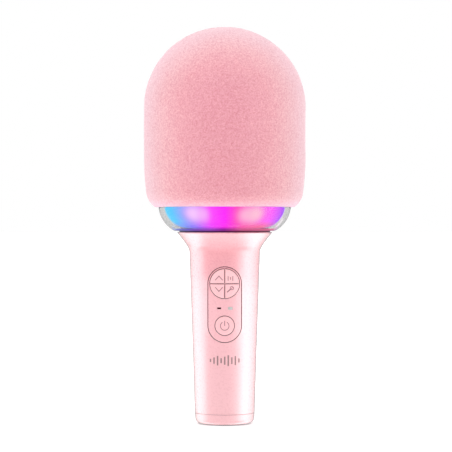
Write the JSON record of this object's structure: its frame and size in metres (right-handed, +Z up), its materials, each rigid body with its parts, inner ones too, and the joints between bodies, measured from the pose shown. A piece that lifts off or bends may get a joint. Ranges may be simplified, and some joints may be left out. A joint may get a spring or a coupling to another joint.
{
  "type": "wireless karaoke microphone",
  "caption": "Handheld karaoke microphone: domed foam windscreen over a lit clear bowl with a built-in speaker, tapered glossy handle with an oval key panel and a charging socket in the base.",
  "frame": {"origin": "centre of the resting face of the bottom cap", "axes": "+Z up the handle towards the head; the key panel faces -Y; +X is to the right seen from the panel side"},
  "size_m": [0.097, 0.097, 0.2374],
  "materials": {
    "pink_foam": "open-cell reticulated foam, soft pink",
    "black_steel": "black powder coat",
    "grey_mesh": "fine woven mesh, dark grey",
    "screw_steel": "zinc plated",
    "clear_plastic": "clear moulded polycarbonate",
    "glowing_diffuser": "milky diffuser lit from inside, cyan through violet to hot pink",
    "pale_abs": "natural white moulded plastic",
    "black_rubber": "matt",
    "dark_rubber": "matt, dark wine",
    "white_flex": "white solder mask on flexible circuit",
    "lamp_package": "white package with clear resin",
    "speaker_steel": "black painted pressed steel",
    "black_foam": "soft foam",
    "zinc_plate": "zinc plated",
    "ferrite": "sintered ferrite, dark grey",
    "copper_wire": "enamelled copper",
    "cone_paper": "pressed paper, dark",
    "yellow_fabric": "resin-treated cloth",
    "black_abs": "black moulded plastic",
    "capsule_can": "satin",
    "pink_gloss": "glossy pink moulded plastic",
    "pink_key": "satin pink moulded plastic, printed symbols",
    "dark_lens": "dark red tinted lens",
    "pale_lens": "pale translucent lens",
    "board_green": "green solder mask",
    "plunger_black": "black moulded plastic",
    "switch_can": "pressed cover",
    "module_can": "tinned shield can",
    "chip_black": "moulded resin and white connectors",
    "cell_metal": "nickel plated can",
    "blue_wrap": "heat-shrink sleeve",
    "socket_steel": "drawn stainless shell",
    "red_lead": "silicone insulation",
    "grey_cable": "screened cable jacket",
    "white_lead": "flat insulation",
    "black_lead": "silicone insulation"
  },
  "bodies": {
    "body": {"grille_cage": "black_steel", "grille_mesh_liner": "grey_mesh", "grille_screws": "screw_steel", "clear_bowl": "clear_plastic", "light_diffuser": "glowing_diffuser", "speaker_chamber": "pale_abs", "cable_grommet": "black_rubber", "lamp_strip": "white_flex", "lamp_chips": "lamp_package", "speaker_frame": "speaker_steel", "speaker_gasket": "black_foam", "speaker_screws": "screw_steel", "speaker_top_plate": "zinc_plate", "speaker_magnet": "ferrite", "speaker_yoke": "zinc_plate", "speaker_surround": "black_rubber", "speaker_spider": "yellow_fabric", "capsule_bridge": "black_abs", "bridge_screws": "screw_steel", "capsule_mount": "black_rubber", "microphone_capsule": "capsule_can", "pop_foam_disc": "black_foam", "handle_barrel": "pink_gloss", "control_panel": "pink_gloss", "indicator_window_left": "dark_lens", "indicator_window_right": "pale_lens", "main_board": "board_green", "key_switches": "switch_can", "wireless_module": "module_can", "board_components": "chip_black", "board_screws": "screw_steel", "inner_chassis": "black_abs", "chassis_screws": "screw_steel", "head_screws": "screw_steel", "battery_cell": "cell_metal", "battery_sleeve": "blue_wrap", "charging_socket": "socket_steel", "charging_board": "board_green", "bottom_cap": "pink_gloss", "cap_screws": "screw_steel", "seam_gasket": "dark_rubber", "speaker_leads": "red_lead", "capsule_cable": "grey_cable", "lamp_lead": "white_lead", "power_leads": "black_lead"},
    "windscreen": {"foam_windscreen": "pink_foam"},
    "speaker_moving": {"speaker_cone": "cone_paper", "dust_cap": "cone_paper", "voice_coil": "copper_wire"},
    "key_up": {"key_up": "pink_key", "key_up_plunger": "plunger_black"},
    "key_mode": {"key_mode": "pink_key", "key_mode_plunger": "plunger_black"},
    "key_down": {"key_down": "pink_key", "key_down_plunger": "plunger_black"},
    "key_voice": {"key_voice": "pink_key", "key_voice_plunger": "plunger_black"},
    "power_key": {"power_key": "pink_key", "power_key_plunger": "plunger_black"}
  },
  "joints": [
    {"name": "windscreen_lift", "type": "slide", "parent": "body", "child": "windscreen", "axis": [0, 0, 1], "range_m": [0, 0.12]},
    {"name": "cone_travel", "type": "slide", "parent": "body", "child": "speaker_moving", "axis": [0, 0, 1], "range_m": [-0.0008, 0.0008], "stiffness_N_per_m": 1500, "deforming": ["speaker_surround", "speaker_spider"]},
    {"name": "key_up_press", "type": "slide", "parent": "body", "child": "key_up", "axis": [0, 1, 0], "range_m": [0, 0.0005], "stiffness_N_per_m": 1200},
    {"name": "key_mode_press", "type": "slide", "parent": "body", "child": "key_mode", "axis": [0, 1, 0], "range_m": [0, 0.0005], "stiffness_N_per_m": 1200},
    {"name": "key_down_press", "type": "slide", "parent": "body", "child": "key_down", "axis": [0, 1, 0], "range_m": [0, 0.0005], "stiffness_N_per_m": 1200},
    {"name": "key_voice_press", "type": "slide", "parent": "body", "child": "key_voice", "axis": [0, 1, 0], "range_m": [0, 0.0005], "stiffness_N_per_m": 1200},
    {"name": "power_key_press", "type": "slide", "parent": "body", "child": "power_key", "axis": [0, 1, 0], "range_m": [0, 0.0005], "stiffness_N_per_m": 1200}
  ]
}
